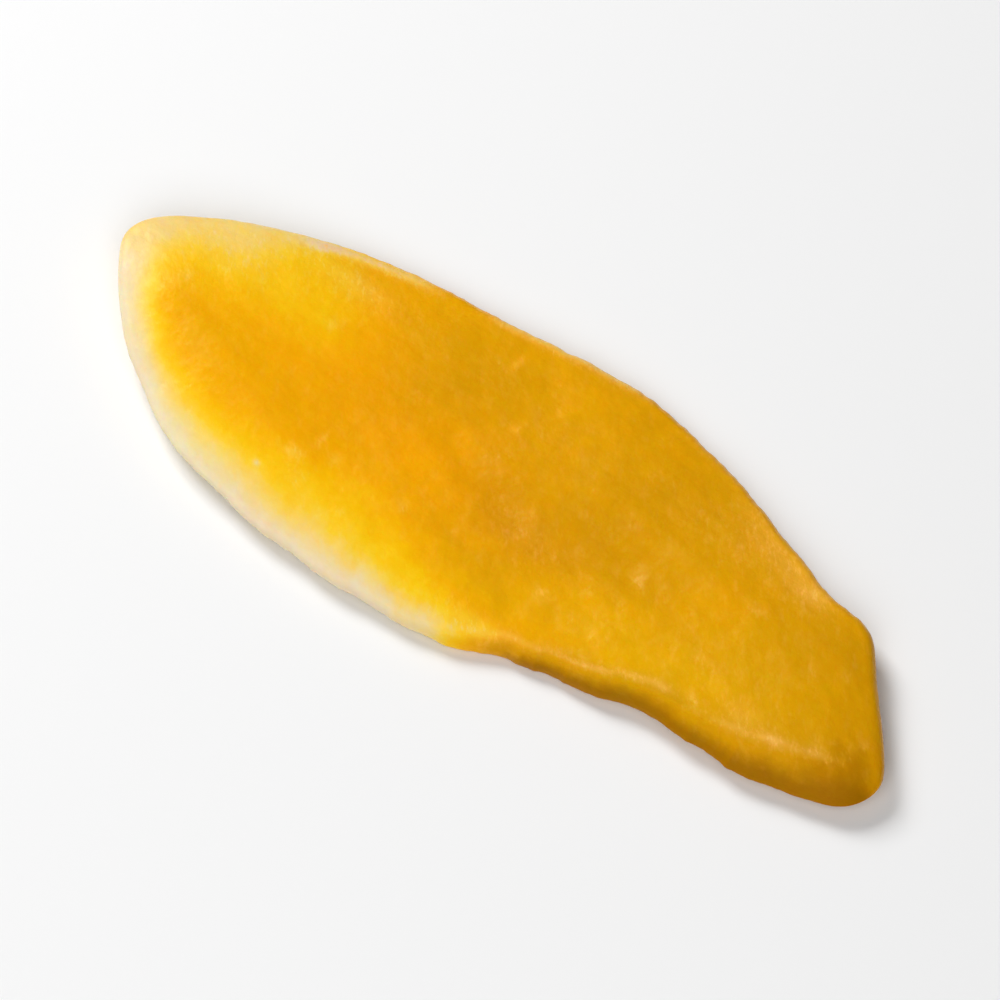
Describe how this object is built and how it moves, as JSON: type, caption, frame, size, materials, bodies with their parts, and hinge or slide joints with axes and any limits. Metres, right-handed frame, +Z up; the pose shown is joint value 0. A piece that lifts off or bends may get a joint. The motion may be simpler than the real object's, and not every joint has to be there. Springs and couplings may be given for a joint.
{
  "type": "dried mango slice",
  "caption": "Long leathery slice of dried mango with a rounded blunt end, a slanted cut end, a thin pale rim and a gently crowned golden face.",
  "frame": {"origin": "middle of the slice's footprint, on the surface it lies on", "axes": "+X along the slice from its blunt end to its slanted cut end, +Y across it, away from the long edge that has the sloping wall, +Z up out of its crowned face"},
  "size_m": [0.1262, 0.0474, 0.0065],
  "materials": {
    "dried_mango": "satin"
  },
  "bodies": {
    "root": {"mango_slice": "dried_mango"}
  },
  "joints": []
}
